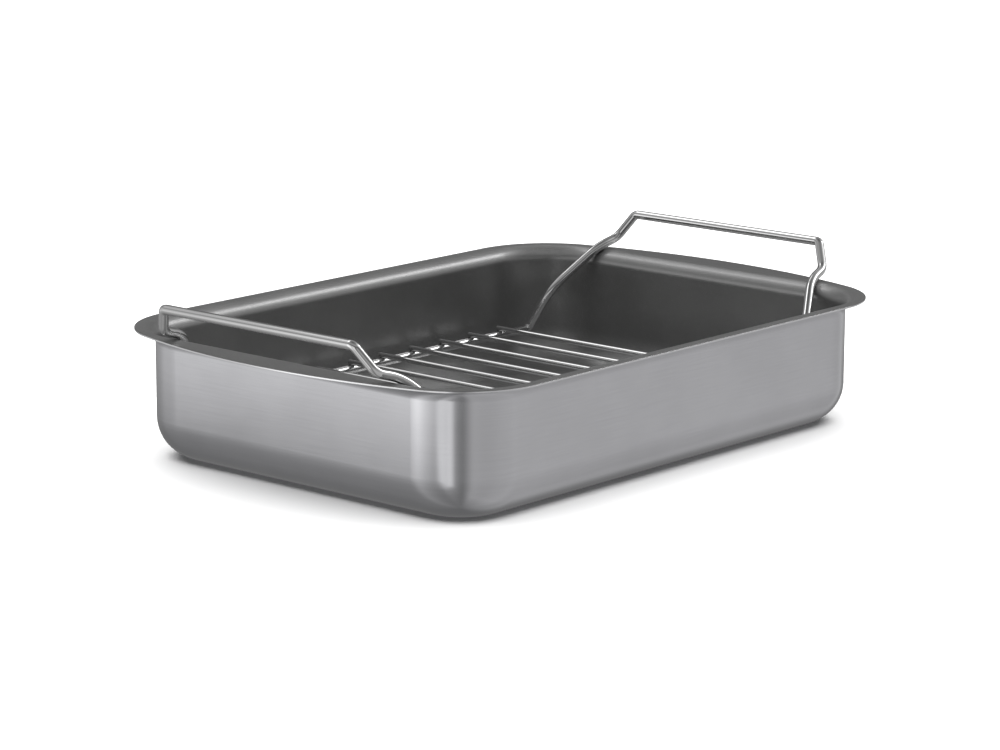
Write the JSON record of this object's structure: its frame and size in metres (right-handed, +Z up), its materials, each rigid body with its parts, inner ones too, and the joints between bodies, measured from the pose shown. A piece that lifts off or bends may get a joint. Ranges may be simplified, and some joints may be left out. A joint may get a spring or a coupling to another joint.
{
  "type": "roasting pan with rack",
  "caption": "Deep drawn steel roasting pan with rounded corners, a wide curved flange and a non-stick inside, holding a lift-out wire rack whose end bows stand up as handles.",
  "frame": {"origin": "centre of the pan's underside, on the surface it stands on", "axes": "+X along the pan through both handles, +Y across it, +Z up out of the pan"},
  "size_m": [0.3734, 0.255, 0.0899],
  "materials": {
    "steel": "satin, fine grain, bare bright cut edge",
    "nonstick": "smooth dark grey non-stick coating, satin gloss",
    "wire": "polished bright wire"
  },
  "bodies": {
    "pan": {"pan_shell": "steel", "nonstick_lining": "nonstick"},
    "rack": {"rack_bow_left": "wire", "rack_bow_right": "wire", "rack_rail_front": "wire", "rack_rail_back": "wire", "cross_bar_01": "wire", "cross_bar_02": "wire", "cross_bar_03": "wire", "cross_bar_04": "wire", "cross_bar_05": "wire", "cross_bar_06": "wire", "cross_bar_07": "wire", "cross_bar_08": "wire", "cross_bar_09": "wire", "cross_bar_10": "wire"}
  },
  "joints": [
    {"name": "rack_lift", "type": "slide", "parent": "pan", "child": "rack", "axis": [0, 0, 1], "range_m": [0, 0.08]}
  ]
}
